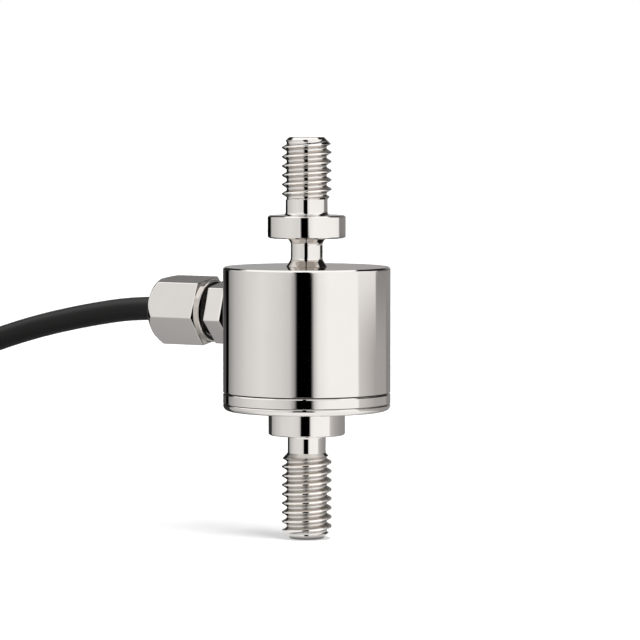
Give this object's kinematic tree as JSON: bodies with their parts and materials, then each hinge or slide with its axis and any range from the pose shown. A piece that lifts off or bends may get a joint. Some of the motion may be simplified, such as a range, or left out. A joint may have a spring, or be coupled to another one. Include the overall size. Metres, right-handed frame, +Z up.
{
  "type": "inline load cell",
  "caption": "Inline tension and compression load cell: round polished steel body, threaded stud and collar at each end, side cable gland, cable folded in a tied hank.",
  "frame": {"origin": "centre of the lower stud's end face, on the load axis", "axes": "+Z up along the load axis from the lower stud to the upper stud; the cable gland points to -X"},
  "size_m": [0.1282, 0.0245, 0.048],
  "materials": {
    "polished_steel": "polished stainless steel",
    "nickel_plate": "satin nickel plate",
    "plain_steel": "plain steel",
    "gauge_foil": "amber film",
    "glass_board": "lacquered board",
    "resistor": "glazed chip",
    "tinned_copper": "tinned wire",
    "seal_rubber": "moulded rubber",
    "cable_jacket": "satin jacket",
    "shrink_sleeve": "shrunk sleeve",
    "tie_strap": "hook and loop strap",
    "insulation_red": "extruded insulation",
    "insulation_black": "extruded insulation",
    "insulation_green": "extruded insulation",
    "insulation_white": "extruded insulation"
  },
  "bodies": {
    "root": {"base_stud": "polished_steel", "board_snap_ring": "plain_steel", "cable": "cable_jacket", "cable_hank": "cable_jacket", "cable_tail": "cable_jacket", "core_black": "insulation_black", "core_green": "insulation_green", "core_red": "insulation_red", "core_white": "insulation_white", "end_sleeve": "shrink_sleeve", "gauge_leads": "tinned_copper", "gland_body": "nickel_plate", "gland_grommet": "seal_rubber", "gland_nut": "nickel_plate", "gland_seal_ring": "seal_rubber", "gland_washer": "plain_steel", "hank_tie": "tie_strap", "hub_screw": "plain_steel", "lead_black": "insulation_black", "lead_drain": "tinned_copper", "lead_green": "insulation_green", "lead_red": "insulation_red", "lead_tips": "tinned_copper", "lead_white": "insulation_white", "load_stud_housing": "polished_steel", "sensing_disc": "polished_steel", "shield_drain": "tinned_copper", "strain_gauge_1": "gauge_foil", "strain_gauge_2": "gauge_foil", "strain_gauge_3": "gauge_foil", "strain_gauge_4": "gauge_foil", "terminal_board": "glass_board", "trim_resistor_1": "resistor", "trim_resistor_2": "resistor"}
  },
  "joints": []
}
